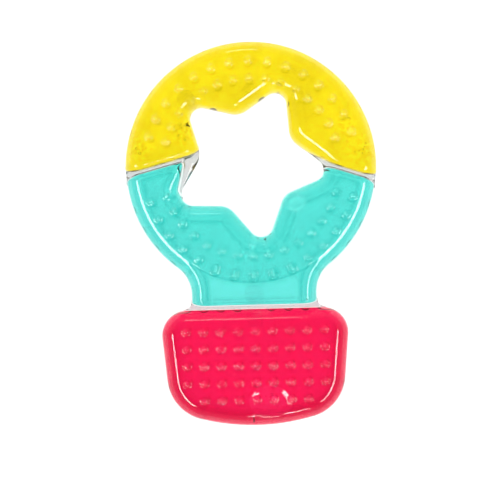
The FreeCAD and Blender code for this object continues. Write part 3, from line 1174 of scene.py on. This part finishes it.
def make_plug(colour):
    """The plug pressed into a chamber's fill port: a flat head with a small dimple."""
    x, y = PORTS[colour]
    verts = []
    for radius, z in PLUG_PROFILE[1:-1]:
        for i in range(PLUG_TURNS):
            p = polar(radius, 360 * i / PLUG_TURNS)
            verts.append((x + p[0], y + p[1], z))
    top, low = len(verts), len(verts) + 1
    verts += [(x, y, PLUG_PROFILE[0][1]), (x, y, PLUG_PROFILE[-1][1])]
    faces = []
    rows = len(PLUG_PROFILE) - 2
    for i in range(PLUG_TURNS):
        j = (i + 1) % PLUG_TURNS
        faces.append((top, i, j))
        for row in range(rows - 1):
            a, b = row * PLUG_TURNS, (row + 1) * PLUG_TURNS
            faces.append((a + i, b + i, b + j, a + j))
        last = (rows - 1) * PLUG_TURNS
        faces.append((last + i, low, last + j))
    obj = new_object(colour + "_plug_body", verts, faces, [PLUG])
    obj.data.set_sharp_from_angle(angle=math.radians(35))
    finish_piece(obj, colour + "_fill_plug")


for colour in PADS:
    make_fill(colour)
    make_plug(colour)
make_shell("front_shell", 1)
make_shell("back_shell", -1)


# ---------------------------------------------------------------- floor, lights and camera
def make_floor():
    """A plain white floor that gives off some light of its own, so that it stays even under the part."""
    mesh = bpy.data.meshes.new("floor")
    r = 2.5
    mesh.from_pydata([(-r, -r, 0), (r, -r, 0), (r, r, 0), (-r, r, 0)], [], [(0, 1, 2, 3)])
    floor = bpy.data.objects.new("floor", mesh)
    bpy.context.scene.collection.objects.link(floor)
    material, _, shader, _ = new_material("pale_floor")
    shader.inputs["Base Color"].default_value = (0.9, 0.9, 0.9, 1)
    shader.inputs["Roughness"].default_value = 0.9
    shader.inputs["Emission Color"].default_value = (1, 1, 1, 1)
    shader.inputs["Emission Strength"].default_value = 1.06
    mesh.materials.append(material)


LIGHT_REACH = 0.6  # from the part to each light, in m


def add_strip(name, azimuth, tilt, long, wide, power):
    """A soft strip light aimed at the part. tilt is its angle from straight up."""
    light = bpy.data.lights.new(name, "AREA")
    light.shape = "RECTANGLE"
    light.size = long
    light.size_y = wide
    light.energy = power
    obj = bpy.data.objects.new(name, light)
    bpy.context.scene.collection.objects.link(obj)
    a, t = math.radians(azimuth), math.radians(tilt)
    way = Vector((math.cos(a) * math.sin(t), math.sin(a) * math.sin(t), math.cos(t)))
    side = Vector((-math.sin(a), math.cos(a), 0))
    place = way * LIGHT_REACH
    turn = Matrix((side, way.cross(side), way)).transposed()
    obj.matrix_world = Matrix.Translation(place) @ turn.to_4x4()
    obj.visible_diffuse = False
    obj.visible_transmission = False


def make_world():
    """A studio that is bright at the sides and dim overhead, and white behind the part."""
    world = bpy.data.worlds.new("studio")
    bpy.context.scene.world = world
    world.use_nodes = True
    tree = world.node_tree
    background = tree.nodes["Background"]
    background.inputs["Color"].default_value = (1, 1, 1, 1)
    way = tree.nodes.new("ShaderNodeTexCoord")
    split = tree.nodes.new("ShaderNodeSeparateXYZ")
    tree.links.new(way.outputs["Generated"], split.inputs["Vector"])
    sides = add_range(tree, split.outputs["Z"], (0.1, 0.7), (0.35, 0.05))
    path = tree.nodes.new("ShaderNodeLightPath")
    strength = add_math(tree, "MAXIMUM", sides, path.outputs["Is Camera Ray"])
    tree.links.new(strength, background.inputs["Strength"])


CAMERA_DISTANCE = 0.475  # above the weld plane, in m
VIEW_WIDTH = 0.155  # on the weld plane, in m
VIEW_CENTRE = (-0.95, -25.6)
CAMERA_LEAN = 1.5


def make_camera():
    """A camera straight above the part, leaning a little to one side."""
    camera = bpy.data.cameras.new("camera")
    obj = bpy.data.objects.new("camera", camera)
    bpy.context.scene.collection.objects.link(obj)
    bpy.context.scene.camera = obj
    camera.sensor_width = 36
    camera.lens = camera.sensor_width * CAMERA_DISTANCE / VIEW_WIDTH
    camera.clip_start = 0.01
    lean = math.radians(CAMERA_LEAN)
    right = Vector((math.cos(lean), -math.sin(lean), 0))
    up = Vector((math.sin(lean), math.cos(lean), 0))
    turn = Matrix((right, up, right.cross(up))).transposed()
    x, y = VIEW_CENTRE
    place = Vector((x * MM, (y + RING_Y) * MM, WELD_Z * MM + CAMERA_DISTANCE))
    obj.matrix_world = Matrix.Translation(place) @ turn.to_4x4()


make_floor()
make_world()
add_strip("strip_left", 210, 41, 0.5, 0.14, 2.4)
add_strip("strip_right", -28, 41, 0.45, 0.14, 2.2)
add_strip("top_soft", 93, 60, 0.12, 0.08, 0.09)
add_strip("low_strip", -84, 57, 0.15, 0.03, 0.48)
make_camera()
bpy.context.scene.view_settings.view_transform = "Standard"
